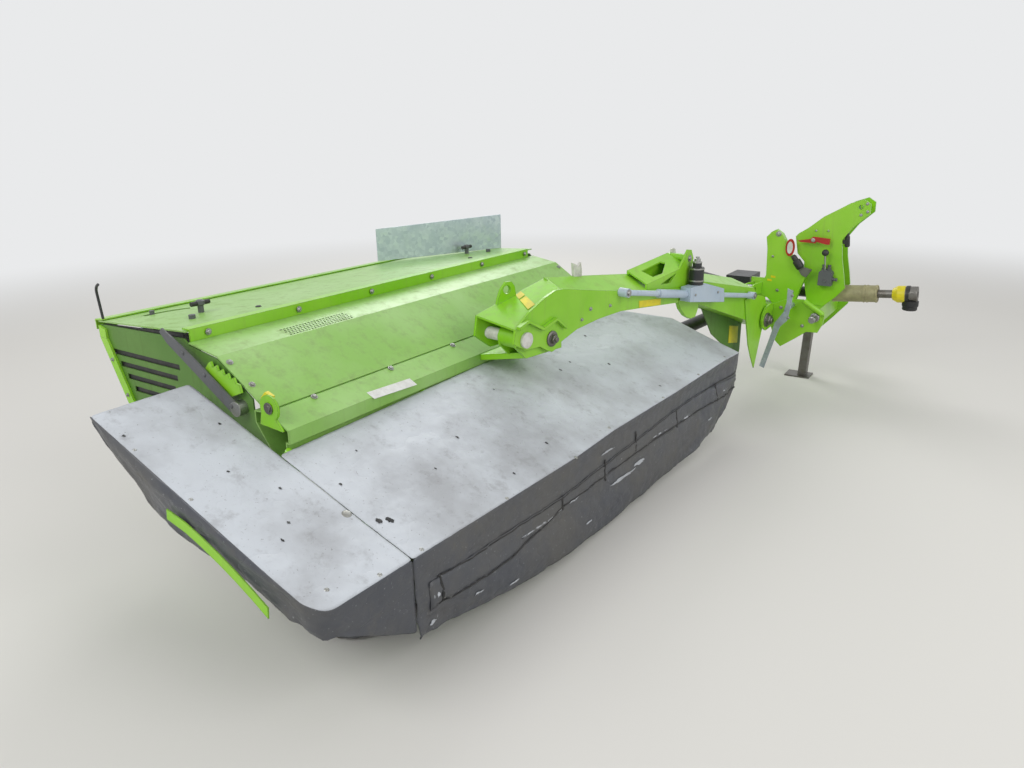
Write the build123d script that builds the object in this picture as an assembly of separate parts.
# Rear-mounted disc mower with a tine conditioner, parked on its skids and stand
# Millimetres. X is the direction of travel, Y points inboard to the headstock, Z is up.
# The origin is on the floor under the centre of the machine's outline.
from build123d import *
from math import cos, hypot, radians, sin, sqrt, tan
import os

os.makedirs("parts", exist_ok=True)

# The origin, on the floor under the middle of the outline, in the coordinates used below
ORIGIN_X = 70
ORIGIN_Y = 1

# Sheet and play
SHEET = 5
PLATE = 12
SEAT_GAP = 0.3
SIDE_GAP = 6
PIN_PLAY = 0.08

# Cutterbar and discs
DISC_COUNT = 6
DISC_PITCH = 385
MOWER_MID_Y = -768
BAR_X = 60
BAR_WIDTH = 300
BAR_HEIGHT = 52
BAR_END = 105
SKID_HEIGHT = 14
SKID_WIDTH = 250
SKID_REACH = 240
SKID_TAIL = 60
DISC_RADIUS = 130
DISC_CAP_HEIGHT = 46
DISC_CLEARANCE = 5
KNIFE_REACH = 240
KNIFE_WIDTH = 46
KNIFE_THICKNESS = 5

# Conditioner rotor
ROTOR_X = -420
ROTOR_Z = 440
ROTOR_TUBE_RADIUS = 85
TINE_REACH = 265
TINE_RADIUS = 9
TINE_ROWS = 4
TINE_PITCH = 118
TINE_SPREAD = 36

# Hood
HOOD_OUTER_Y = -1785
HOOD_INNER_Y = 320
LIP_X = -78
LIP_TOP_Z = 652
LIP_FRONT_HEIGHT = 46
SEAM_X = -165
SEAM_Z = 697
CREASE_X = -384
CREASE_Z = 843
STRIP_X = -528
STRIP_Z = 868
STRIP_RISE = 42
REAR_X = -1070
REAR_Z = 876

# Front and outer covers
COVER_OUTER_Y = -2155
COVER_SEAM_Y = -1830
COVER_INNER_Y = 620
COVER_REAR_X = -484
COVER_INNER_REAR_X = 170
FOLD_X_AT_SEAM = 438
FOLD_SKEW = 0.0457
FOLD_Z = 405
COVER_SLOPE = 0.38
COVER_THICKNESS = 8
CURTAIN_THICKNESS = 8
CURTAIN_LEAN = 0.1
INNER_HEM_Z = 240
OUTER_HEM_Z = 150
# Hem of the front curtain: share of the way from the seam to the inner edge, height
HEM_LINE = [(0, 122), (0.2, 48), (0.43, 15), (0.63, 22), (0.887, 55), (0.941, 128), (1, INNER_HEM_Z)]
# Hem of the side curtain: share of the way from rear to front, depth below the cover's edge
SIDE_HEM_LINE = [(0, 44), (0.1, 142), (0.25, 176), (0.43, 172), (0.6, 152), (0.81, 111), (1, 131)]
CORNER_CUT = 110
COVER_JOINT_GAP = 12

# Boom: straight in plan but set askew; its own frame starts at the hinge, u runs along it
BOOM_TURN = 8.6
HINGE_X = 414
HINGE_Y = 1270
HINGE_Z = 440
ARM_FRONT = 65
ARM_REAR = -65
TILT_U = -2110
TILT_Z = 750
HINGE_TUBE_RADIUS = 42
HINGE_PIN_RADIUS = 25
TILT_PIN_RADIUS = 25
TILT_TUBE_RADIUS = 40

# Lift cylinder, in the boom's frame
LIFT_ARM_U = -640
LIFT_ARM_Z = 790
LIFT_X = -112
LIFT_HEAD_U = 180
LIFT_HEAD_Z = 570
BARREL_RADIUS = 30
BARREL_LENGTH = 460
ROD_RADIUS = 16
LIFT_PIN_RADIUS = 15

# Headstock
HEAD_Y = 1700
HEAD_BEAM_TOP = 480
LOWER_PIN_X = 755
LOWER_PIN_Z = 468
LOWER_PIN_SPAN = 825
LOWER_PIN_RADIUS = 14.2
LOWER_PIN_LENGTH = 90
TOP_HITCH_X = 880
TOP_HITCH_Z = 1072
TOP_HITCH_RADIUS = 12.9
TOP_HITCH_GAP = 54
MAST_PLATE = 16
PTO_Z = 560
PTO_START_X = 700
PTO_START_Z = 542
PTO_SLOPE = 0.082
STAND_X = 655
STAND_PIVOT_Z = 330


def prism_y(points, y_start, length):
    """Extrude an outline given as (x, z) corners along +Y."""
    corners = [(x, y_start, z) for x, z in points]
    return extrude(Face(Wire.make_polygon(corners, close=True)), length, dir=(0, 1, 0))


def prism_x(points, x_start, length):
    """Extrude an outline given as (y, z) corners along +X."""
    corners = [(x_start, y, z) for y, z in points]
    return extrude(Face(Wire.make_polygon(corners, close=True)), length, dir=(1, 0, 0))


def prism_z(points, z_start, length):
    """Extrude an outline given as (x, y) corners along +Z."""
    corners = [(x, y, z_start) for x, y in points]
    return extrude(Face(Wire.make_polygon(corners, close=True)), length, dir=(0, 0, 1))


def slab(corners, thickness, direction):
    """Thicken a flat panel given by its corners in space."""
    return extrude(Face(Wire.make_polygon(corners, close=True)), thickness, dir=direction)


def block(x_range, y_range, z_range):
    """Box between two corners, given axis by axis."""
    size = [high - low for low, high in (x_range, y_range, z_range)]
    centre = [(high + low) / 2 for low, high in (x_range, y_range, z_range)]
    return Pos(*centre) * Box(*size)


def rod(start, end, radius):
    """Round bar between two points."""
    direction = Vector(*end) - Vector(*start)
    return Solid.make_cylinder(radius, direction.length, Plane(origin=start, z_dir=direction))


def tube(start, end, outer, inner):
    """Round tube between two points."""
    return rod(start, end, outer) - rod(start, end, inner)


def sheet_profile(points, thickness):
    """Outline of bent sheet: the (x, z) bend points and the same line set below."""
    normals = []
    for (x0, z0), (x1, z1) in zip(points, points[1:]):
        run = hypot(x1 - x0, z1 - z0)
        normals.append((-(z1 - z0) / run, (x1 - x0) / run))
    below = []
    for index, (x, z) in enumerate(points):
        before = normals[max(index - 1, 0)]
        after = normals[min(index, len(normals) - 1)]
        share = 1 + before[0] * after[0] + before[1] * after[1]
        below.append((x + thickness * (before[0] + after[0]) / share,
                      z + thickness * (before[1] + after[1]) / share))
    return list(points) + below[::-1]


def fold_x(y):
    """Front edge of the covers, which runs slightly askew."""
    return FOLD_X_AT_SEAM + FOLD_SKEW * (y - COVER_SEAM_Y)


def cover_z(x, y):
    """Height of the covers' sloping top."""
    return FOLD_Z + COVER_SLOPE * (fold_x(y) - x)


def cover_point(x, y):
    return (x, y, cover_z(x, y))


def boom_place(x=0, u=0, z=0):
    """Point of the boom's own frame, placed on the machine at rest."""
    turn = radians(BOOM_TURN)
    return (HINGE_X + x * cos(turn) + u * sin(turn), HINGE_Y - x * sin(turn) + u * cos(turn), z)


def boom_coordinates(x, y):
    """Place on the floor plan, given in the boom's own frame."""
    turn = radians(BOOM_TURN)
    return ((x - HINGE_X) * cos(turn) - (y - HINGE_Y) * sin(turn),
            (x - HINGE_X) * sin(turn) + (y - HINGE_Y) * cos(turn))


def on_boom(shape):
    """Move a shape from the boom's own frame to its place at rest."""
    return Pos(HINGE_X, HINGE_Y, 0) * Rot(0, 0, -BOOM_TURN) * shape


def one(shapes):
    """Join the pieces of one node into a single shape."""
    whole = shapes[0]
    for shape in shapes[1:]:
        whole = whole + shape
    return whole


def write(name, shape):
    if isinstance(shape, (list, tuple, ShapeList)):
        shape = Compound(children=list(shape))
    export_step(Pos(-ORIGIN_X, -ORIGIN_Y, 0) * shape, f"parts/{name}.step")


disc_places = [MOWER_MID_Y + (index - (DISC_COUNT - 1) / 2) * DISC_PITCH for index in range(DISC_COUNT)]
bar_start = disc_places[0] - BAR_END
bar_end = disc_places[-1] + BAR_END
bar_top = SKID_HEIGHT + BAR_HEIGHT

# Cutterbar: a flat lens-shaped gear case
bar_outline = [
    (BAR_X + BAR_WIDTH / 2, SKID_HEIGHT + 16),
    (BAR_X + BAR_WIDTH / 2, SKID_HEIGHT + 26),
    (BAR_X + BAR_WIDTH / 3, bar_top),
    (BAR_X - BAR_WIDTH / 3, bar_top),
    (BAR_X - BAR_WIDTH / 2, SKID_HEIGHT + 30),
    (BAR_X - BAR_WIDTH / 2, SKID_HEIGHT),
    (BAR_X + BAR_WIDTH / 3, SKID_HEIGHT),
]
bar_round = BAR_WIDTH / 2
bar_plan = block((BAR_X - 200, BAR_X + 200), (bar_start + bar_round, bar_end - bar_round), (0, 200))
for y in (bar_start + bar_round, bar_end - bar_round):
    bar_plan = bar_plan + Pos(BAR_X, y, 100) * Cylinder(bar_round + 1, 200)
cutterbar = prism_y(bar_outline, bar_start, bar_end - bar_start) & bar_plan
write("cutterbar", cutterbar)

# Skids: one shoe under each disc, turned up in front and behind, which reaches back past the bar
skid_top = SKID_HEIGHT - SEAT_GAP
skid_outline = [
    (BAR_X + SKID_WIDTH / 2 + 38, skid_top + 8),
    (BAR_X + SKID_WIDTH / 2 + 31, skid_top + 14),
    (BAR_X + SKID_WIDTH / 2 - 20, skid_top),
    (BAR_X - SKID_REACH + 8, skid_top),
    (BAR_X - SKID_REACH - SKID_TAIL, skid_top + 28),
    (BAR_X - SKID_REACH - SKID_TAIL - 6, skid_top + 20),
    (BAR_X - SKID_REACH, 0),
    (BAR_X + SKID_WIDTH / 3, 0),
]
skid_half = 90
skid_rear = BAR_X - SKID_REACH - SKID_TAIL - 10
skids = []
for y in disc_places:
    skid = prism_y(skid_outline, y - skid_half, 2 * skid_half)
    skid_plan = [
        (skid_rear, y - skid_half + 25),
        (skid_rear + 30, y - skid_half),
        (BAR_X + 35, y - skid_half),
        (BAR_X + SKID_WIDTH / 2 + 10, y - 20),
        (BAR_X + SKID_WIDTH / 2 + 10, y + 20),
        (BAR_X + 35, y + skid_half),
        (skid_rear + 30, y + skid_half),
        (skid_rear, y + skid_half - 25),
    ]
    skids.append(skid & prism_z(skid_plan, -10, 100))
write("skids", skids)

# Discs with two knives each; neighbours stand a quarter turn apart
disc_base = bar_top + DISC_CLEARANCE
spindle_radius = 38
for index, y in enumerate(disc_places):
    turn = 90 * (index % 2)
    hub = Pos(0, 0, disc_base) * Cylinder(DISC_RADIUS, 8, align=(Align.CENTER, Align.CENTER, Align.MIN))
    cap = Pos(0, 0, disc_base + 8) * Cone(
        DISC_RADIUS - 30, 46, DISC_CAP_HEIGHT - 8, align=(Align.CENTER, Align.CENTER, Align.MIN))
    shaft = Pos(0, 0, bar_top + SEAT_GAP) * Cylinder(
        spindle_radius, DISC_CLEARANCE, align=(Align.CENTER, Align.CENTER, Align.MIN))
    disc = hub + cap + shaft
    for side in (1, -1):
        inner_end = side * (DISC_RADIUS - 45)
        outer_end = side * KNIFE_REACH
        knife = block(sorted((inner_end, outer_end)), (-KNIFE_WIDTH / 2, KNIFE_WIDTH / 2),
                      (disc_base, disc_base + KNIFE_THICKNESS))
        disc = disc + knife
    write(f"disc_{index + 1}", Pos(BAR_X, y, 0) * Rot(0, 0, turn) * disc)

# Conditioner rotor: a tube with staggered rows of V tines, turning in the end plates
rotor_start = HOOD_OUTER_Y + SHEET + 30
rotor_end = HOOD_INNER_Y - SHEET - 30
rotor = rod((ROTOR_X, rotor_start, ROTOR_Z), (ROTOR_X, rotor_end, ROTOR_Z), ROTOR_TUBE_RADIUS)
rotor_wall = 7
rotor_hollow = rod((ROTOR_X, rotor_start + 12, ROTOR_Z), (ROTOR_X, rotor_end - 12, ROTOR_Z),
                   ROTOR_TUBE_RADIUS - rotor_wall)
rotor = rotor - rotor_hollow
journal_radius = 25
for start, end in ((HOOD_OUTER_Y - 30, rotor_start + 12), (rotor_end - 12, HOOD_INNER_Y + 30)):
    rotor = rotor + rod((ROTOR_X, start, ROTOR_Z), (ROTOR_X, end, ROTOR_Z), journal_radius)
tine_count = int((rotor_end - rotor_start - 160) / TINE_PITCH) + 1
tine_root = ROTOR_TUBE_RADIUS - 5
tines = []
for index in range(tine_count):
    y = rotor_start + 80 + index * TINE_PITCH
    for half in (0, 1):
        angle = radians(360 / TINE_ROWS * (index % TINE_ROWS) + 180 * half)
        for lean in (1, -1):
            root = (ROTOR_X + tine_root * cos(angle), y, ROTOR_Z + tine_root * sin(angle))
            tip = (ROTOR_X + TINE_REACH * cos(angle), y + lean * TINE_SPREAD,
                   ROTOR_Z + TINE_REACH * sin(angle))
            tines.append(rod(root, tip, TINE_RADIUS))
rotor = rotor.fuse(*tines)
write("tine_rotor", rotor)

# Front beam: closed channel behind the rolled lip, with the seam panel as its top
hood_width = HOOD_INNER_Y - HOOD_OUTER_Y
BEAM_BOTTOM_Z = 548
LIP_SET = 14
beam_outline = [
    (LIP_X, LIP_TOP_Z - LIP_FRONT_HEIGHT),
    (LIP_X, LIP_TOP_Z),
    (SEAM_X, SEAM_Z),
    (SEAM_X - 65, SEAM_Z - 5),
    (SEAM_X - 65, 650),
    (SEAM_X + 8, BEAM_BOTTOM_Z),
    (LIP_X - LIP_SET, BEAM_BOTTOM_Z),
    (LIP_X - LIP_SET, LIP_TOP_Z - LIP_FRONT_HEIGHT),
]
beam_face = Face(Wire.make_polygon([(x, HOOD_OUTER_Y, z) for x, z in beam_outline], close=True))
beam_hollow = offset(beam_face, amount=-SHEET, kind=Kind.INTERSECTION)
front_beam = extrude(beam_face - beam_hollow, hood_width, dir=(0, 1, 0))
write("hood_front_beam", front_beam)

# Main hood panel up to the crease and on to the riser strip
main_line = [(SEAM_X - 3, SEAM_Z + SHEET - 0.9), (CREASE_X, CREASE_Z), (STRIP_X, STRIP_Z)]
main_panel = prism_y(sheet_profile(main_line, SHEET), HOOD_OUTER_Y, hood_width)
write("hood_main_panel", main_panel)

# Riser strip: bright angle with chamfered ends standing on the joint of the two panels
riser_top = STRIP_Z + STRIP_RISE
strip_outline = [
    (STRIP_X - 1 - SEAT_GAP, STRIP_Z - 12),
    (STRIP_X - 1 - SEAT_GAP, riser_top),
    (STRIP_X - 40, riser_top),
    (STRIP_X - 40, riser_top - SHEET),
    (STRIP_X - 1 - SEAT_GAP - SHEET, riser_top - SHEET),
    (STRIP_X - 1 - SEAT_GAP - SHEET, STRIP_Z - 12),
]
riser_strip = prism_y(strip_outline, HOOD_OUTER_Y + 10, hood_width - 60)
write("hood_riser_strip", riser_strip)

# Rear hood panel, flat and set under the riser strip, with arc slots for the board handles
rear_front_x = STRIP_X - 8
rear_front_z = riser_top - SHEET - SEAT_GAP
rear_line = [(rear_front_x, rear_front_z), (REAR_X, REAR_Z)]
rear_panel = prism_y(sheet_profile(rear_line, SHEET), HOOD_OUTER_Y, hood_width)

# Swath boards hang from pivots under the rear panel and swing on upright pins
BOARD_PIVOT_X = -720
BOARD_INSET = 150
BOARD_LENGTH = 330
BOARD_TOP_GAP = 40
BOARD_HEIGHT = 360
HANDLE_REACH = 250
HANDLE_RISE = 14
HANDLE_RADIUS = 9
SLOT_WIDTH = 26
BOARD_SWING = 24


def rear_z(x):
    return rear_front_z + (REAR_Z - rear_front_z) * (x - rear_front_x) / (REAR_X - rear_front_x)


board_table = [
    # name, pivot y, side (+1 swings towards -Y, inwards for the inner board)
    ("outer", HOOD_OUTER_Y + BOARD_INSET, -1),
    ("inner", HOOD_INNER_Y - BOARD_INSET, 1),
]
board_top = rear_z(REAR_X) - BOARD_TOP_GAP
for name, pivot_y, side in board_table:
    slot_steps = 8
    slot_points = []
    for edge in (1, -1):
        radius = HANDLE_REACH + edge * SLOT_WIDTH / 2
        order = range(slot_steps + 1) if edge == 1 else range(slot_steps, -1, -1)
        for step in order:
            angle = radians(180 + side * (-8 + (BOARD_SWING + 16) * step / slot_steps))
            slot_points.append((BOARD_PIVOT_X + radius * cos(angle), pivot_y + radius * sin(angle)))
    rear_panel = rear_panel - prism_z(slot_points, REAR_Z - 60, 160)
    pin_hole = Pos(BOARD_PIVOT_X, pivot_y, REAR_Z) * Cylinder(12.5, 160)
    rear_panel = rear_panel - pin_hole
    board = block((BOARD_PIVOT_X - BOARD_LENGTH, BOARD_PIVOT_X + 20), (pivot_y - 3, pivot_y + 3),
                  (board_top - BOARD_HEIGHT, board_top))
    board = board + rod((BOARD_PIVOT_X, pivot_y, board_top - BOARD_HEIGHT),
                        (BOARD_PIVOT_X, pivot_y, rear_z(BOARD_PIVOT_X) + 14), 12)
    handle_x = BOARD_PIVOT_X - HANDLE_REACH
    peg_top = rear_z(handle_x) + HANDLE_RISE
    board = board + rod((handle_x, pivot_y, board_top - 30), (handle_x, pivot_y, peg_top), HANDLE_RADIUS)
    write(f"swath_board_{name}", board)
write("hood_rear_panel", rear_panel)

# Bright angle along the rear edge of the hood
rear_edge_outline = [
    (REAR_X - 22, REAR_Z - 34),
    (REAR_X - 22, REAR_Z + 4),
    (REAR_X + 30, REAR_Z + 8 + SEAT_GAP),
    (REAR_X + 30, REAR_Z + 3 + SEAT_GAP),
    (REAR_X - 17, REAR_Z - 1),
    (REAR_X - 17, REAR_Z - 34),
]
rear_edge = prism_y(rear_edge_outline, HOOD_OUTER_Y, hood_width)
write("hood_rear_edge", rear_edge)

# End plates of the conditioner housing
plate_line = [
    (-150, 150),
    (-150, BEAM_BOTTOM_Z - SEAT_GAP),
    (SEAM_X + 8 - 0.4, BEAM_BOTTOM_Z - SEAT_GAP),
    (SEAM_X - 65 - SEAT_GAP, 649.6),
    (SEAM_X - 65 - SEAT_GAP, SEAM_Z + 30),
    (CREASE_X, CREASE_Z - 10),
    (STRIP_X, STRIP_Z - 10),
    (STRIP_X - 20, STRIP_Z + 10),
    (REAR_X + 12, REAR_Z - 12),
    (REAR_X + 12, REAR_Z - 60),
    (-850, 380),
    (-760, 200),
    (-420, 130),
]
LOUVRE_COUNT = 5
LOUVRE_PITCH = 42
LOUVRE_HEIGHT = 20
for name, y in (("outer", HOOD_OUTER_Y), ("inner", HOOD_INNER_Y - SHEET)):
    end_plate = prism_y(plate_line, y, SHEET)
    bearing = rod((ROTOR_X, y - 20, ROTOR_Z), (ROTOR_X, y + SHEET + 20, ROTOR_Z), 60)
    end_plate = end_plate + bearing
    end_plate = end_plate - rod((ROTOR_X, y - 40, ROTOR_Z), (ROTOR_X, y + 60, ROTOR_Z), journal_radius + PIN_PLAY)
    for index in range(LOUVRE_COUNT):
        z = REAR_Z - 95 - index * LOUVRE_PITCH
        start = REAR_X + 70 + index * 34
        length = 400 - 55 * index
        end_plate = end_plate - block((start, start + length), (y - 10, y + SHEET + 10), (z - LOUVRE_HEIGHT, z))
    write(f"end_plate_{name}", end_plate)

# Stays behind the discs tie the cutterbar to the front beam, each midway between two discs
stay_line = [
    (BAR_X - BAR_WIDTH / 2 - SEAT_GAP, SKID_HEIGHT + 4),
    (BAR_X - BAR_WIDTH / 2 - SEAT_GAP, bar_top - 8),
    (BAR_X - BAR_WIDTH / 2 - 10, bar_top - 2),
    (LIP_X - LIP_SET - 8, BEAM_BOTTOM_Z - SEAT_GAP),
    (LIP_X - LIP_SET - 58, BEAM_BOTTOM_Z - SEAT_GAP),
    (BAR_X - BAR_WIDTH / 2 - 60, 300),
    (BAR_X - BAR_WIDTH / 2 - 75, SKID_HEIGHT + 4),
]
stays = []
for index in range(0, DISC_COUNT - 1, 2):
    y = (disc_places[index] + disc_places[index + 1]) / 2
    stays.append(prism_y(stay_line, y - PLATE / 2, PLATE))
write("cutterbar_stays", stays)

# Angle gearbox over the innermost disc, held by an arm from the front beam
gearbox_y = disc_places[-1]
gearbox_z = 400
column_bottom = disc_base + DISC_CAP_HEIGHT + 8
gearbox = Pos(BAR_X, gearbox_y, column_bottom) * Cylinder(
    40, gearbox_z - column_bottom, align=(Align.CENTER, Align.CENTER, Align.MIN))
gearbox = gearbox + block((BAR_X - 75, BAR_X + 75), (gearbox_y - 75, gearbox_y + 75),
                          (gearbox_z - 70, gearbox_z + 70))
gearbox_arm_line = [
    (BAR_X - 60, gearbox_z - 40),
    (BAR_X - 60, gearbox_z + 66),
    (LIP_X - LIP_SET + SEAT_GAP, 600),
    (LIP_X - LIP_SET + SEAT_GAP, 552),
]
gearbox = gearbox + prism_y(gearbox_arm_line, gearbox_y - 60, 60)

# Fork of the drive shaft's outboard universal joint, pinned parallel to the pendulum pin
FORK_PIN_RADIUS = 10
FORK_INSIDE = 24
FORK_EAR = 10
TONGUE_HALF = 18
DRIVE_JOINT_Y = 175
DRIVE_INBOARD_X = 208
drive_z = gearbox_z
drive_x, drive_u = boom_coordinates(BAR_X, gearbox_y + DRIVE_JOINT_Y)
gearbox = gearbox + rod((BAR_X, gearbox_y + 60, gearbox_z), boom_place(drive_x, drive_u - 50, drive_z), 30)
gearbox = gearbox + on_boom(rod((drive_x, drive_u - 62, drive_z), (drive_x, drive_u - 44, drive_z), 38))
ear_line = [
    (drive_u - 50, drive_z - 22), (drive_u, drive_z - 22), (drive_u + 16, drive_z - 15), (drive_u + 22, drive_z),
    (drive_u + 16, drive_z + 15), (drive_u, drive_z + 22), (drive_u - 50, drive_z + 22),
]
for x in (drive_x - FORK_INSIDE - FORK_EAR, drive_x + FORK_INSIDE):
    gearbox = gearbox + on_boom(prism_x(ear_line, x, FORK_EAR))
fork_pin = rod((drive_x - FORK_INSIDE - FORK_EAR, drive_u, drive_z), (drive_x + FORK_INSIDE + FORK_EAR, drive_u, drive_z),
               FORK_PIN_RADIUS)
gearbox = gearbox + on_boom(fork_pin)
write("mower_gearbox", gearbox)

# Pendulum carrier: cheeks and a tube on the front beam that hold the mower at its middle
tilt_rear = ARM_REAR + PLATE + SIDE_GAP
tilt_front = ARM_FRONT - PLATE - SIDE_GAP
carrier_line = [
    (TILT_U - 34, TILT_Z - 30),
    (TILT_U - TILT_TUBE_RADIUS, TILT_Z),
    (TILT_U, TILT_Z + 10),
    (TILT_U + TILT_TUBE_RADIUS, TILT_Z),
    (TILT_U + 240, TILT_Z - 62),
    (TILT_U + 240, TILT_Z - 84),
    (TILT_U + 20, TILT_Z - 82),
]
carrier = [on_boom(rod((tilt_rear, TILT_U, TILT_Z), (tilt_front, TILT_U, TILT_Z), TILT_TUBE_RADIUS))]
for x in (tilt_rear, tilt_front - PLATE):
    carrier.append(on_boom(prism_x(carrier_line, x, PLATE)))
tilt_x, tilt_y, _ = boom_place(0, TILT_U)
base_front = tilt_front + tilt_x - 6
base_line = [
    (LIP_X + SEAT_GAP, LIP_TOP_Z - 26),
    (LIP_X + SEAT_GAP, LIP_TOP_Z - 2),
    (base_front, TILT_Z - 60),
    (base_front, TILT_Z - 84),
]
carrier.append(prism_y(base_line, tilt_y + 20, 230))
carrier = one(carrier)
carrier = carrier - on_boom(rod((tilt_rear - 50, TILT_U, TILT_Z), (tilt_front + 50, TILT_U, TILT_Z),
                                TILT_PIN_RADIUS + PIN_PLAY))
write("pendulum_carrier", carrier)

# Main front cover and its curtain: plain closed solids for the cloth
seam_y = COVER_SEAM_Y + COVER_JOINT_GAP / 2
lip_edge_x = LIP_X + 4
main_corners = [
    cover_point(lip_edge_x, seam_y),
    cover_point(fold_x(seam_y), seam_y),
    cover_point(fold_x(COVER_INNER_Y), COVER_INNER_Y),
    cover_point(COVER_INNER_REAR_X, COVER_INNER_Y),
    cover_point(lip_edge_x, HOOD_INNER_Y - 10),
]
drop = -COVER_THICKNESS - 4


def lowered(point, amount):
    return (point[0], point[1], point[2] + amount)


front_cover = slab([lowered(point, drop) for point in main_corners], COVER_THICKNESS, (0, 0, 1))
write("front_cover", front_cover)


curtain_drop = drop - SEAT_GAP
front_left = lowered(cover_point(fold_x(seam_y), seam_y), curtain_drop)
front_right = lowered(cover_point(fold_x(COVER_INNER_Y), COVER_INNER_Y), curtain_drop)
INNER_CURTAIN_REAR_X = 240
inner_rear = lowered(cover_point(INNER_CURTAIN_REAR_X, COVER_INNER_Y), curtain_drop)


def curtain_point(share, z):
    """Point of the front curtain, which leans back below the fold."""
    x = front_left[0] + share * (front_right[0] - front_left[0])
    y = front_left[1] + share * (front_right[1] - front_left[1])
    return (x - CURTAIN_LEAN * (front_left[2] - z), y, z)


hem = [curtain_point(share, z) for share, z in HEM_LINE]
front_curtain = slab([front_left, front_right] + hem[::-1], CURTAIN_THICKNESS, (-1, 0, 0))
inner_curtain = slab(
    [front_right, inner_rear, (inner_rear[0], inner_rear[1], INNER_HEM_Z + 20), hem[-1]],
    CURTAIN_THICKNESS, (0, -1, 0))
front_curtain = front_curtain + inner_curtain
write("front_curtain", front_curtain)

# Tubular frame that carries the main cover, welded to the lip of the hood
FRAME_RADIUS = 15


def frame_point(x, y):
    return (x, y, cover_z(x, y) + drop - (FRAME_RADIUS + SEAT_GAP) * sqrt(1 + COVER_SLOPE ** 2))


frame_front_left = frame_point(fold_x(seam_y + 40) - 40, seam_y + 40)
frame_front_right = frame_point(fold_x(COVER_INNER_Y - 40) - 40, COVER_INNER_Y - 40)
frame = rod(frame_front_left, frame_front_right, FRAME_RADIUS)
for y in (seam_y + 40, -1150, -400, HOOD_INNER_Y - 30):
    frame = frame + rod(frame_point(fold_x(y) - 40, y), frame_point(LIP_X - LIP_SET - 10, y), FRAME_RADIUS)
    frame = frame + Pos(*frame_point(fold_x(y) - 40, y)) * Sphere(FRAME_RADIUS)
frame = frame + Pos(*frame_front_right) * Sphere(FRAME_RADIUS)
frame = frame + rod(frame_front_right, frame_point(COVER_INNER_REAR_X + 20, COVER_INNER_Y - 40), FRAME_RADIUS)
frame = frame + rod(frame_point(COVER_INNER_REAR_X + 20, COVER_INNER_Y - 40),
                    frame_point(LIP_X - LIP_SET - 10, HOOD_INNER_Y - 30), FRAME_RADIUS)
cover_span = (COVER_OUTER_Y, COVER_INNER_Y)
frame = frame - block((LIP_X - 200, LIP_X - LIP_SET + SEAT_GAP), cover_span, (FOLD_Z, SEAM_Z + 200))
lip_bottom = LIP_TOP_Z - LIP_FRONT_HEIGHT - SEAT_GAP
frame = frame - block((LIP_X - 200, LIP_X + SEAT_GAP), cover_span, (lip_bottom, SEAM_Z + 200))
hinge_line_y = COVER_SEAM_Y - COVER_JOINT_GAP / 2 - 22
saddle_y = seam_y + 40
for x in (-60, 230):
    _, _, tube_z = frame_point(x, hinge_line_y)
    tube_under = tube_z - (FRAME_RADIUS + SEAT_GAP) * sqrt(1 + COVER_SLOPE ** 2) - COVER_SLOPE * 12
    saddle_line = [
        (saddle_y, tube_z),
        (saddle_y, tube_under - 30),
        (hinge_line_y - 9, tube_under - 30),
        (hinge_line_y - 9, tube_under),
        (hinge_line_y + 9, tube_under),
        (hinge_line_y + 9, tube_under - 18),
        (saddle_y - 12, tube_under - 18),
        (saddle_y - 12, tube_z),
    ]
    frame = frame + prism_x(saddle_line, x - 12, 24)
write("front_cover_frame", frame)

# Outer side cover: folds up about the seam for transport
outer_seam_y = COVER_SEAM_Y - COVER_JOINT_GAP / 2
outer_corners = [
    cover_point(fold_x(outer_seam_y), outer_seam_y),
    cover_point(fold_x(COVER_OUTER_Y + CORNER_CUT), COVER_OUTER_Y + CORNER_CUT),
    cover_point(fold_x(COVER_OUTER_Y) - CORNER_CUT, COVER_OUTER_Y),
    cover_point(COVER_REAR_X, COVER_OUTER_Y),
    cover_point(COVER_REAR_X, outer_seam_y),
]
outer_cover = slab([lowered(point, drop) for point in outer_corners], COVER_THICKNESS, (0, 0, 1))
write("outer_cover", outer_cover)
hang = [lowered(point, curtain_drop) for point in outer_corners]
side_hem_points = []
for share, depth in SIDE_HEM_LINE:
    x = COVER_REAR_X + share * (hang[2][0] - COVER_REAR_X)
    side_hem_points.append((x, COVER_OUTER_Y, cover_z(x, COVER_OUTER_Y) - depth))
side_hem = side_hem_points[-1][2]
side_curtain = slab([hang[2], hang[3]] + side_hem_points, CURTAIN_THICKNESS, (0, 1, 0))
corner_curtain = slab(
    [hang[1], hang[2], (hang[2][0], hang[2][1], side_hem), (hang[1][0], hang[1][1], side_hem)],
    CURTAIN_THICKNESS, (-1, 1, 0))
outer_front_curtain = slab(
    [hang[0], hang[1], (hang[1][0], hang[1][1], side_hem), (hang[0][0], hang[0][1], OUTER_HEM_Z)],
    CURTAIN_THICKNESS, (-1, 0, 0))
outer_curtain = one([side_curtain, corner_curtain, outer_front_curtain])
write("outer_curtain", outer_curtain)

# Green angle frame under the outer cover, with its hinge tube along the seam
outer_frame_y = COVER_OUTER_Y + 30
outer_frame = rod(frame_point(fold_x(outer_frame_y) - CORNER_CUT - 20, outer_frame_y),
                  frame_point(COVER_REAR_X + 30, outer_frame_y), FRAME_RADIUS)
hinge_front = frame_point(fold_x(hinge_line_y) - 60, hinge_line_y)
hinge_rear = frame_point(COVER_REAR_X + 60, hinge_line_y)
outer_frame = outer_frame + rod(hinge_front, hinge_rear, FRAME_RADIUS)
for x in (fold_x(hinge_line_y) - CORNER_CUT - 40, -60, COVER_REAR_X + 70):
    outer_frame = outer_frame + rod(frame_point(x, hinge_line_y), frame_point(x, outer_frame_y), FRAME_RADIUS - 2)
write("outer_cover_frame", outer_frame)

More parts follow.
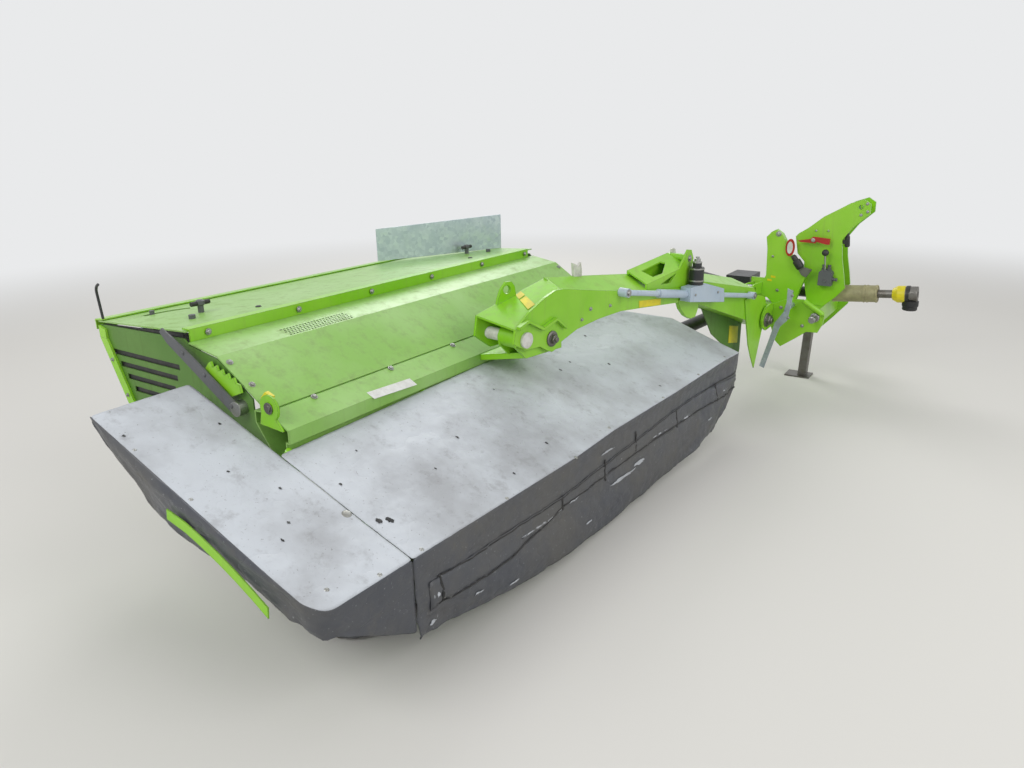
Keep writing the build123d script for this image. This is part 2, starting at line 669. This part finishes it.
# Boom, outer arm: box beam with a sloping top; its end bracket straddles the carrier
ARM_TOP_Z = 939
ARM_TOP_U = -1834
ARM_FALL = 0.118
ARM_LEAN = 0.5
BRACKET_END_U = -2165
BRACKET_REAR = -150


def arm_top(x, u):
    """Height of the outer arm's sloping top."""
    return ARM_TOP_Z - ARM_FALL * (u - ARM_TOP_U) - ARM_LEAN * (x - ARM_REAR)


def bracket_rear_x(u):
    """Rear plate of the end bracket, spreading from the arm towards the mower."""
    return ARM_REAR + (BRACKET_REAR - ARM_REAR) * (u - ARM_TOP_U) / (BRACKET_END_U - ARM_TOP_U)


arm_joint_u = -905
ARM_FOOT_Z = 706
ARM_STEP_U = -985
arm_outline = [
    (-1850, 782),
    (-1850, 1000),
    (arm_joint_u, 1000),
    (arm_joint_u, 738),
    (ARM_STEP_U, 738),
    (ARM_STEP_U, ARM_FOOT_Z),
    (-1324, 737),
]
ARM_WALL = 8
arm_hollow_line = [
    (-1850 + ARM_WALL, 782 + ARM_WALL),
    (-1850 + ARM_WALL, 1000),
    (arm_joint_u + 1, 1000),
    (arm_joint_u + 1, 738 + ARM_WALL),
    (ARM_STEP_U - ARM_WALL, 738 + ARM_WALL),
    (ARM_STEP_U - ARM_WALL, ARM_FOOT_Z + ARM_WALL),
    (-1324, 737 + ARM_WALL),
]
arm_sweep = ((-300, -2400), (-300, -700), (300, -700), (300, -2400))
above_arm = slab([(x, u, arm_top(x, u)) for x, u in arm_sweep], 600, (0, 0, 1))
above_hollow = slab([(x, u, arm_top(x, u) - 1.13 * ARM_WALL) for x, u in arm_sweep], 600, (0, 0, 1))
arm_hollow = prism_x(arm_hollow_line, ARM_REAR + ARM_WALL, ARM_FRONT - ARM_REAR - 2 * ARM_WALL) - above_hollow
outer_arm = prism_x(arm_outline, ARM_REAR, ARM_FRONT - ARM_REAR) - above_arm - arm_hollow
front_plate_line = [
    (-2177, 745), (-2165, 800), (-2085, 855), (-1996, 895), (-1929, 914), (-1880, 912), (-1635, 868),
    (-1500, 845), (-1480, 750), (-1640, 746), (-1790, 730), (-1889, 700), (-1925, 676), (-1952, 668), (-1985, 682),
    (-2026, 706), (-2110, 708),
]
front_plate = prism_x(front_plate_line, ARM_FRONT - PLATE, PLATE)
rear_plate_line = [
    (-2177, 745), (-2165, 824), (-2075, 857), (-2069, 882), (-2056, 915), (-2032, 943), (-2008, 943), (-1994, 922),
    (-1988, 886), (-1834, 936), (-1834, 782), (-1889, 705), (-2026, 697), (-2110, 691),
]
rear_plate = slab([(bracket_rear_x(u), u, z) for u, z in rear_plate_line], PLATE, (1, 0, 0))
rear_plate = rear_plate - rod((-400, -2030, 912), (200, -2030, 912), 17)
chevron_line = [
    (-2160, 800), (-2107, 818), (-2020, 772), (-1938, 797), (-1880, 752),
    (-1880, 764), (-1938, 809), (-2020, 784), (-2107, 830), (-2160, 812),
]
chevron = prism_x(chevron_line, ARM_FRONT - 2, 20)
end_rear = (BRACKET_REAR, BRACKET_END_U, 826)
end_front = (ARM_FRONT - 2, BRACKET_END_U, 800)
knee_rear = (bracket_rear_x(-2075), -2075, 858)
crest_rear = (ARM_REAR, ARM_TOP_U, 938)
crest_front = (ARM_FRONT - 2, -1880, 902)
bracket_panels = []
panel_table = (
    (end_rear, knee_rear, end_front),
    (knee_rear, crest_rear, end_front),
    (crest_rear, crest_front, end_front),
)
for corners in panel_table:
    bracket_panels.append(slab(corners, 8, (0, 0, -1)))
outer_arm = one([outer_arm, front_plate, rear_plate, chevron] + bracket_panels)
outer_arm = outer_arm - rod((-400, TILT_U, TILT_Z), (200, TILT_U, TILT_Z), TILT_PIN_RADIUS + PIN_PLAY)
write("boom_outer_arm", on_boom(outer_arm))

# Pendulum pin with its flat cap
tilt_pin = rod((bracket_rear_x(TILT_U) - 22, TILT_U, TILT_Z), (ARM_FRONT + 6, TILT_U, TILT_Z), TILT_PIN_RADIUS)
tilt_pin = tilt_pin + rod((ARM_FRONT + SEAT_GAP, TILT_U, TILT_Z), (ARM_FRONT + 10, TILT_U, TILT_Z), 31)
write("pendulum_pin", on_boom(tilt_pin))

# Gooseneck: a windowed plate rising off the outer arm between two cheeks, with a rolled end
goose_start_u = -1258
goose_end_u = -862
goose_half = 57
goose_plate = [
    (-goose_half, goose_start_u, 888),
    (goose_half, goose_start_u, 836),
    (goose_half, -905, 876),
    (-goose_half, -905, 928),
]
rear_cheek_line = [
    (goose_start_u, 870), (goose_start_u, 880), (-912, 920), (-886, 928), (goose_end_u, 908), (goose_end_u, 770),
    (-899, 770), (-1150, 780),
]
front_cheek_line = [
    (goose_start_u, 800), (goose_start_u, 832), (-975, 866), (-926, 922), (-899, 952), (-870, 948), (-846, 904),
    (goose_end_u, 850), (goose_end_u, 770), (-899, 770),
]
gooseneck = slab(goose_plate, 8, (0, 0, -1))
gooseneck = gooseneck + prism_x(rear_cheek_line, -goose_half, PLATE)
gooseneck = gooseneck + prism_x(front_cheek_line, goose_half - PLATE, PLATE)
gooseneck = gooseneck + block((-goose_half, goose_half), (-912, -899), (770, 890))
gooseneck = gooseneck + rod((-goose_half + 2, -885, 908), (goose_half - 2, -885, 908), 19)
window_plan = [(-22, -1190), (-26, -1015), (-8, -1000), (38, -1100), (34, -1175)]
gooseneck = gooseneck - prism_z(window_plan, 700, 400)
gooseneck = gooseneck - prism_x([(-1140, 818), (-1005, 852), (-1055, 812)], 20, 100)
goose_sweep = ((-300, -2400), (-300, -873), (300, -873), (300, -2400))
below_arm = slab([(x, u, arm_top(x, u) + SEAT_GAP) for x, u in goose_sweep], 600, (0, 0, -1))
gooseneck = gooseneck - below_arm
write("boom_gooseneck", on_boom(gooseneck))

# Boom, inner arm: box from the break-away joint down to the hinge at the headstock
inner_start_u = -858
inner_line = [
    (inner_start_u, 700),
    (inner_start_u, 768 + SEAT_GAP),
    (inner_start_u, 812),
    (-781, 812),
    (-781, 826),
    (-177, 697),
    (-60, 520),
    (-20, 482),
    (0, 482),
    (0, 398),
    (-30, 400),
    (-231, 478),
    (-818, 675),
]
inner_arm = prism_x(inner_line, ARM_REAR, ARM_FRONT - ARM_REAR)
inner_fall = (782 - 653) / (781 - 177)


def inner_top(x, u):
    """Height of the inner arm's top, higher at the rear."""
    return 782 - inner_fall * (u + 781) - 0.34 * (x - ARM_FRONT)


inner_sweep = ((-300, -1000), (-300, 300), (300, 300), (300, -1000))
inner_arm = inner_arm - slab([(x, u, inner_top(x, u)) for x, u in inner_sweep], 600, (0, 0, 1))
inner_arm = inner_arm + rod((ARM_REAR, 0, HINGE_Z), (ARM_FRONT, 0, HINGE_Z), HINGE_TUBE_RADIUS)
lug_line = [(-978, 731), (-978, 703), (-958, 668), (-908, 625), (-857, 601), (-808, 602), (-785, 640), (-776, 700),
            (-848, 731)]
inner_arm = inner_arm + prism_x(lug_line, ARM_FRONT - 20, 20)
lift_lug_line = [
    (LIFT_ARM_U - 62, LIFT_ARM_Z - 60), (LIFT_ARM_U - 30, LIFT_ARM_Z + 30), (LIFT_ARM_U, LIFT_ARM_Z + 38),
    (LIFT_ARM_U + 36, LIFT_ARM_Z + 12), (LIFT_ARM_U + 30, LIFT_ARM_Z - 30), (LIFT_ARM_U - 20, LIFT_ARM_Z - 90),
]
inner_arm = inner_arm + prism_x(lift_lug_line, LIFT_X - 29, PLATE)
lug_block_table = [
    # x range, u range, z range
    ((LIFT_X - 29, ARM_REAR + 10), (LIFT_ARM_U - 62, LIFT_ARM_U - 50), (LIFT_ARM_Z - 78, LIFT_ARM_Z - 20)),
    ((LIFT_X - 29, ARM_REAR + 10), (LIFT_ARM_U - 50, LIFT_ARM_U - 20), (LIFT_ARM_Z - 86, LIFT_ARM_Z - 70)),
    ((ARM_REAR, ARM_REAR + PLATE), (LIFT_ARM_U - 70, LIFT_ARM_U + 60), (LIFT_ARM_Z - 110, LIFT_ARM_Z + 30)),
]
for x_range, u_range, z_range in lug_block_table:
    inner_arm = inner_arm + block(x_range, u_range, z_range)
inner_hollow_line = [
    (inner_start_u - 1, 712), (inner_start_u - 1, 760), (-770, 802), (-185, 680), (-90, 540), (-238, 490), (-816, 686),
]
inner_hollow = prism_x(inner_hollow_line, ARM_REAR + ARM_WALL, ARM_FRONT - ARM_REAR - 2 * ARM_WALL)
above_hollow = slab([(x, u, inner_top(x, u) - 1.1 * ARM_WALL) for x, u in inner_sweep], 600, (0, 0, 1))
inner_arm = inner_arm - (inner_hollow - above_hollow)
inner_arm = inner_arm - rod((-300, 0, HINGE_Z), (300, 0, HINGE_Z), HINGE_PIN_RADIUS + PIN_PLAY)
inner_arm = inner_arm - rod((-300, LIFT_ARM_U, LIFT_ARM_Z), (ARM_REAR + 30, LIFT_ARM_U, LIFT_ARM_Z),
                            LIFT_PIN_RADIUS + PIN_PLAY)
write("boom_inner_arm", on_boom(inner_arm))

# Leaf-shaped cheek over the hinge and the dark side shield under the inner arm
cheek_line = [
    (-264, 599), (-167, 611), (-60, 594), (-4, 574), (20, 522), (-2, 400), (-75, 158), (-130, 240), (-175, 319),
    (-229, 478),
]
end_cheek = prism_x(cheek_line, ARM_FRONT + SEAT_GAP, 6)
end_cheek = end_cheek - rod((0, 0, HINGE_Z), (300, 0, HINGE_Z), HINGE_PIN_RADIUS + 8)
write("boom_end_cheek", on_boom(end_cheek))
shield_line = [(-560, 588), (-231, 477.6), (-60, 411), (-60, 250), (-75, 190), (-428, 419)]
side_shield = prism_x(shield_line, -40, 5)
write("boom_side_shield", on_boom(side_shield))

# Break-away strut in front of the joint, with the accumulator standing on its block
STRUT_X = 95
strut_line = [
    # name, u, z
    ("eye", -1486, 838),
    ("body", -1223, 793),
    ("block", -977, 751),
    ("end", -230, 622),
]
strut_points = {name: (STRUT_X, u, z) for name, u, z in strut_line}
strut = rod(strut_points["eye"], strut_points["end"], 13)
strut = strut + rod(strut_points["body"], strut_points["block"], 20)
strut_block_line = [(-978, 715), (-978, 784), (-830, 784), (-633, 728), (-622, 656)]
strut = strut + prism_x(strut_block_line, STRUT_X - 24, 54)
strut = strut + rod((ARM_FRONT + SEAT_GAP, -1486, 838), (STRUT_X + 16, -1486, 838), 20)
strut = strut + rod((ARM_FRONT + 6 + 2 * SEAT_GAP, -230, 622), (STRUT_X + 16, -230, 622), 20)
write("breakaway_strut", on_boom(strut))
accumulator = Pos(STRUT_X + 3, -880, 784 + SEAT_GAP) * Cylinder(
    35, 84, align=(Align.CENTER, Align.CENTER, Align.MIN))
accumulator = accumulator + Pos(STRUT_X + 3, -880, 784 + 84) * Cylinder(
    22, 22, align=(Align.CENTER, Align.CENTER, Align.MIN))
write("accumulator", on_boom(accumulator))

# Lift cylinder behind the arm: barrel on the boom's pin, rod towards the headstock
lift_length = hypot(LIFT_HEAD_U - LIFT_ARM_U, LIFT_HEAD_Z - LIFT_ARM_Z)


def on_lift(distance):
    share = distance / lift_length
    return (LIFT_X, LIFT_ARM_U + (LIFT_HEAD_U - LIFT_ARM_U) * share,
            LIFT_ARM_Z + (LIFT_HEAD_Z - LIFT_ARM_Z) * share)


LIFT_EYE_HALF = 17
barrel = rod(on_lift(48), on_lift(BARREL_LENGTH), BARREL_RADIUS)
barrel = barrel + rod((LIFT_X - LIFT_EYE_HALF, LIFT_ARM_U, LIFT_ARM_Z),
                      (LIFT_X + LIFT_EYE_HALF, LIFT_ARM_U, LIFT_ARM_Z), 28)
barrel = barrel + rod(on_lift(18), on_lift(60), 15)
barrel = barrel - rod((-300, LIFT_ARM_U, LIFT_ARM_Z), (100, LIFT_ARM_U, LIFT_ARM_Z), LIFT_PIN_RADIUS + PIN_PLAY)
barrel = barrel - rod(on_lift(70), on_lift(BARREL_LENGTH - 24), BARREL_RADIUS - 7)
barrel = barrel - rod(on_lift(70), on_lift(BARREL_LENGTH + 5), ROD_RADIUS + PIN_PLAY)
write("lift_barrel", on_boom(barrel))
rod_start = 385
lift_rod = rod(on_lift(rod_start), on_lift(lift_length - 20), ROD_RADIUS)
lift_rod = lift_rod + rod((LIFT_X - LIFT_EYE_HALF, LIFT_HEAD_U, LIFT_HEAD_Z),
                          (LIFT_X + LIFT_EYE_HALF, LIFT_HEAD_U, LIFT_HEAD_Z), 28)
lift_rod = lift_rod - rod((-300, LIFT_HEAD_U, LIFT_HEAD_Z), (100, LIFT_HEAD_U, LIFT_HEAD_Z), LIFT_PIN_RADIUS + 0.5)
write("lift_rod", on_boom(lift_rod))
lift_pin = rod((LIFT_X - 36, LIFT_ARM_U, LIFT_ARM_Z), (ARM_REAR + 26, LIFT_ARM_U, LIFT_ARM_Z), LIFT_PIN_RADIUS)
write("lift_pin", on_boom(lift_pin))

# Headstock: cross beam, link plates and the lugs that hold the boom's hinge
LINK_PLATE = 16
GEARBOX_BOTTOM_Z = 490
link_near = HEAD_Y - LOWER_PIN_SPAN / 2 + LOWER_PIN_LENGTH / 2
link_far = HEAD_Y + LOWER_PIN_SPAN / 2 - LOWER_PIN_LENGTH / 2 - LINK_PLATE
frame_parts = [block((640, 740), (link_near, link_far + LINK_PLATE), (380, HEAD_BEAM_TOP))]
near_line = [
    (505, 400), (505, 520), (600, 560), (680, 563), (784, 500), (806, 480), (800, 430), (777, 379), (716, 377),
    (659, 331), (577, 270), (545, 300),
]
far_line = [
    (600, 390), (620, 480), (672, 536), (780, 545), (806, 500), (800, 420), (715, 315), (658, 250), (612, 262),
]
frame_parts.append(prism_y(near_line, link_near, LINK_PLATE))
frame_parts.append(prism_y(far_line, link_far, LINK_PLATE))
HINGE_LUG_REAR = ARM_REAR - SIDE_GAP
HINGE_LUG_FRONT = ARM_FRONT + 6 + SIDE_GAP + 2
front_lug_line = [
    (-60, 440), (-50, 480), (-18, 515), (40, 530), (230, 500), (230, 400), (60, 385), (0, 375), (-45, 400),
]
rear_lug_line = [
    (-45, 440), (-36, 475), (0, 488), (120, 480), (330, 480), (330, 380), (120, 380), (0, 388), (-36, 405),
]
for line, x in ((rear_lug_line, HINGE_LUG_REAR - PLATE), (front_lug_line, HINGE_LUG_FRONT)):
    frame_parts.append(on_boom(prism_x(line, x, PLATE)))
frame_parts.append(block((345, 640), (1500, 1630), (380, HEAD_BEAM_TOP)))
frame_parts.append(block((505, 640), (link_near, 1500), (400, 470)))
frame_parts.append(block((180, 350), (1550, 1625), (440, GEARBOX_BOTTOM_Z - SEAT_GAP)))
frame = one(frame_parts)
frame = frame - on_boom(rod((-300, 0, HINGE_Z), (300, 0, HINGE_Z), HINGE_PIN_RADIUS + PIN_PLAY))
write("headstock_frame", frame)

hinge_pin = rod((HINGE_LUG_REAR - PLATE - 5, 0, HINGE_Z), (HINGE_LUG_FRONT + PLATE + 16, 0, HINGE_Z), HINGE_PIN_RADIUS)
write("hinge_pin", on_boom(hinge_pin))

# Cranked galvanised strap in front of the hinge, bolted to the near link plate over a spacer
STRAP_Y = 1238
strap_line = [
    (610, 640), (640, 626), (641, 560), (624, 452), (588, 412), (560, 315), (518, 150), (490, 160), (531, 322),
    (556, 432), (600, 500), (612, 560),
]
strap = prism_y(strap_line, STRAP_Y, 6)
strap = strap + rod((626, STRAP_Y + 5, 530), (626, link_near - SEAT_GAP, 530), 13)
write("galvanised_strap", strap)

for name, y_start, y_end in (
        ("outer", HEAD_Y - LOWER_PIN_SPAN / 2 - LOWER_PIN_LENGTH / 2, link_near - SEAT_GAP),
        ("inner", link_far + LINK_PLATE + SEAT_GAP, HEAD_Y + LOWER_PIN_SPAN / 2 + LOWER_PIN_LENGTH / 2)):
    link_pin = rod((LOWER_PIN_X, y_start, LOWER_PIN_Z), (LOWER_PIN_X, y_end, LOWER_PIN_Z), LOWER_PIN_RADIUS)
    write(f"lower_link_pin_{name}", link_pin)

# Mast: two plates rising forward to the top hitch
mast_inner = 72
mast_line = [
    (536, 886), (551, 905), (603, 940),
    (TOP_HITCH_X - 194, TOP_HITCH_Z - 61), (TOP_HITCH_X - 117, TOP_HITCH_Z - 16),
    (TOP_HITCH_X - 58, TOP_HITCH_Z + 20), (TOP_HITCH_X + 10, TOP_HITCH_Z + 44),
    (TOP_HITCH_X + 50, TOP_HITCH_Z + 18), (TOP_HITCH_X + 52, TOP_HITCH_Z - 37),
    (TOP_HITCH_X - 26, TOP_HITCH_Z - 112), (800, 880), (812, 770), (834, 669), (846, 598), (800, 540),
    (738, HEAD_BEAM_TOP + SEAT_GAP), (642, HEAD_BEAM_TOP + SEAT_GAP), (606, 640), (600, 740), (556, 787),
]
mast_parts = []
for y in (HEAD_Y - mast_inner - MAST_PLATE, HEAD_Y + mast_inner):
    mast_parts.append(prism_y(mast_line, y, MAST_PLATE))
boss_depth = mast_inner - TOP_HITCH_GAP / 2
for y in (HEAD_Y - mast_inner, HEAD_Y + TOP_HITCH_GAP / 2):
    mast_parts.append(rod((TOP_HITCH_X, y, TOP_HITCH_Z), (TOP_HITCH_X, y + boss_depth, TOP_HITCH_Z), 27))
mast_parts.append(block((612, 660), (HEAD_Y - mast_inner, HEAD_Y + mast_inner), (760, 800)))
mast = one(mast_parts)
mast = mast - rod((TOP_HITCH_X, HEAD_Y - 120, TOP_HITCH_Z), (TOP_HITCH_X, HEAD_Y + 120, TOP_HITCH_Z), TOP_HITCH_RADIUS)
write("mast", mast)

# Rear arm: two plates joined along their curved front edge, carrying the lift cylinder's clevis
REAR_ARM_Y = 1560
REAR_ARM_WIDTH = 48
rear_arm_line = [
    (364, 580), (394, 647), (388, 809), (377, 880), (405, 912), (430, 927), (467, 903), (488, 869), (505, 822),
    (532, 775), (568, 730), (610, 684), (626, 649), (603, 580), (575, HEAD_BEAM_TOP + SEAT_GAP),
    (444, HEAD_BEAM_TOP + SEAT_GAP),
    (400, 521),
]
rear_arm_edge = [(430, 927), (467, 903), (488, 869), (505, 822), (532, 775), (568, 730), (610, 684), (626, 649)]
rear_arm_parts = []
for y in (REAR_ARM_Y, REAR_ARM_Y + REAR_ARM_WIDTH - PLATE):
    rear_arm_parts.append(prism_y(rear_arm_line, y, PLATE))
rear_arm_parts.append(prism_y(sheet_profile(rear_arm_edge, -8), REAR_ARM_Y, REAR_ARM_WIDTH))
rear_arm_parts.append(block((420, 560), (REAR_ARM_Y, REAR_ARM_Y + REAR_ARM_WIDTH), (600, 640)))
clevis_line = [
    (LIFT_HEAD_U - 30, LIFT_HEAD_Z), (LIFT_HEAD_U - 21, LIFT_HEAD_Z + 24), (LIFT_HEAD_U, LIFT_HEAD_Z + 32),
    (LIFT_HEAD_U + 104, LIFT_HEAD_Z + 32), (LIFT_HEAD_U + 104, LIFT_HEAD_Z - 40), (LIFT_HEAD_U, LIFT_HEAD_Z - 32),
    (LIFT_HEAD_U - 21, LIFT_HEAD_Z - 24),
]
clevis_gap = LIFT_EYE_HALF + 2
for x in (LIFT_X - clevis_gap - PLATE, LIFT_X + clevis_gap):
    rear_arm_parts.append(on_boom(prism_x(clevis_line, x, PLATE)))
rear_arm_parts.append(block((306, 440), (REAR_ARM_Y, REAR_ARM_Y + PLATE), (LIFT_HEAD_Z - 60, LIFT_HEAD_Z + 60)))
rear_arm = one(rear_arm_parts)
rear_arm = rear_arm - on_boom(rod((-200, LIFT_HEAD_U, LIFT_HEAD_Z), (0, LIFT_HEAD_U, LIFT_HEAD_Z), LIFT_PIN_RADIUS))
write("rear_arm", rear_arm)

# Input gearbox with its through shaft
head_gearbox = block((150, 300), (1545, 1765), (GEARBOX_BOTTOM_Z, 630))
head_gearbox = head_gearbox + rod((300, HEAD_Y, PTO_Z - 20), (694, HEAD_Y, PTO_Z - 20), 32)

# Its output fork stands on the boom's hinge axis; the cross of this joint is left out
inboard_y = HINGE_Y + (HINGE_X - DRIVE_INBOARD_X) * tan(radians(BOOM_TURN))
inboard_x, inboard_u = boom_coordinates(DRIVE_INBOARD_X, inboard_y)
inboard_z = HINGE_Z
base_u = inboard_u + 57
head_gearbox = head_gearbox + rod(boom_place(inboard_x, base_u + 13, inboard_z), (216, 1548, 535), 32)
head_gearbox = head_gearbox + on_boom(rod((inboard_x, base_u, inboard_z), (inboard_x, base_u + 18, inboard_z), 38))
output_ear_line = [
    (base_u + 4, inboard_z - 24), (inboard_u, inboard_z - 24), (inboard_u - 18, inboard_z - 17),
    (inboard_u - 25, inboard_z), (inboard_u - 18, inboard_z + 17), (inboard_u, inboard_z + 24),
    (base_u + 4, inboard_z + 24),
]
for x in (inboard_x - FORK_INSIDE - FORK_EAR, inboard_x + FORK_INSIDE):
    head_gearbox = head_gearbox + on_boom(prism_x(output_ear_line, x, FORK_EAR))
head_gearbox = head_gearbox - on_boom(rod((inboard_x - 60, inboard_u, inboard_z), (inboard_x + 60, inboard_u, inboard_z),
                                          FORK_PIN_RADIUS))
write("head_gearbox", head_gearbox)

# Drive shaft along the boom, with a tongue at either end
DRIVE_RADIUS = 38
DRIVE_SHOULDER = 74
drive_outboard = (drive_x, drive_u, drive_z)
drive_inboard = (inboard_x, inboard_u, inboard_z)
drive_length = sqrt(sum((b - a) ** 2 for a, b in zip(drive_outboard, drive_inboard)))


def on_drive(distance):
    share = distance / drive_length
    return tuple(a + (b - a) * share for a, b in zip(drive_outboard, drive_inboard))


drive = rod(on_drive(DRIVE_SHOULDER), on_drive(drive_length - DRIVE_SHOULDER), DRIVE_RADIUS)
drive = drive + rod(on_drive(8), on_drive(DRIVE_SHOULDER + 4), 15)
drive = drive + rod(on_drive(drive_length - DRIVE_SHOULDER - 4), on_drive(drive_length - 8), 15)
for x, u, z in (drive_outboard, drive_inboard):
    drive = drive + rod((x - TONGUE_HALF, u, z), (x + TONGUE_HALF, u, z), 22)
    drive = drive - rod((x - 60, u, z), (x + 60, u, z), FORK_PIN_RADIUS + PIN_PLAY)
write("drive_shaft", on_boom(drive))

# Drive line to the tractor
pto_axis = Vector(1, 0, PTO_SLOPE).normalized()


def on_pto(distance):
    return (PTO_START_X + pto_axis.X * distance, HEAD_Y, PTO_START_Z + pto_axis.Z * distance)


PTO_TUBE_RADIUS = 24
pto_guard = tube(on_pto(70), on_pto(320), 50, 44)
for start in (72, 300):
    pto_guard = pto_guard + tube(on_pto(start), on_pto(start + 12), 46, PTO_TUBE_RADIUS + SEAT_GAP)
write("pto_guard", pto_guard)
pto_shaft = rod(on_pto(-3.7), on_pto(440), PTO_TUBE_RADIUS)
yoke = rod(on_pto(438), on_pto(530), 46) - rod(on_pto(462), on_pto(545), 17.5)
pto_shaft = pto_shaft + yoke
write("pto_shaft", pto_shaft)

# Parking stand, hinged under the cross beam
stand_line = [(STAND_X - 24, STAND_PIVOT_Z + 24), (STAND_X + 24, STAND_PIVOT_Z + 24), (STAND_X + 12, 8), (STAND_X - 36, 8)]
stand = prism_y(stand_line, HEAD_Y - 30, 60)
stand = stand + block((STAND_X - 110, STAND_X + 40), (HEAD_Y - 60, HEAD_Y + 60), (0, 8))
stand = stand - rod((STAND_X, HEAD_Y - 60, STAND_PIVOT_Z), (STAND_X, HEAD_Y + 60, STAND_PIVOT_Z), 10 + PIN_PLAY)
write("parking_stand", stand)
bracket_top = 380 - SEAT_GAP
stand_bracket = block((STAND_X - 15, STAND_X + 45), (HEAD_Y - 48, HEAD_Y - 36), (STAND_PIVOT_Z - 25, bracket_top))
stand_bracket = stand_bracket + block((STAND_X - 15, STAND_X + 45), (HEAD_Y + 36, HEAD_Y + 48),
                                      (STAND_PIVOT_Z - 25, bracket_top))
stand_bracket = stand_bracket + block((STAND_X - 15, STAND_X + 45), (HEAD_Y - 48, HEAD_Y + 48),
                                      (bracket_top - 8, bracket_top))
stand_bracket = stand_bracket + rod((STAND_X, HEAD_Y - 48, STAND_PIVOT_Z), (STAND_X, HEAD_Y + 48, STAND_PIVOT_Z), 10)
write("stand_bracket", stand_bracket)

# Deflector plate standing askew on the inner rear corner of the hood
deflector_corners = [
    (-1060, -330, REAR_Z + 11),
    (-745, 330, rear_z(-745) + SEAT_GAP),
    (-745, 330, 1078),
    (-1060, -330, 1050),
]
deflector = slab(deflector_corners, 3, (-0.9, 0.43, 0))
write("deflector_plate", deflector)
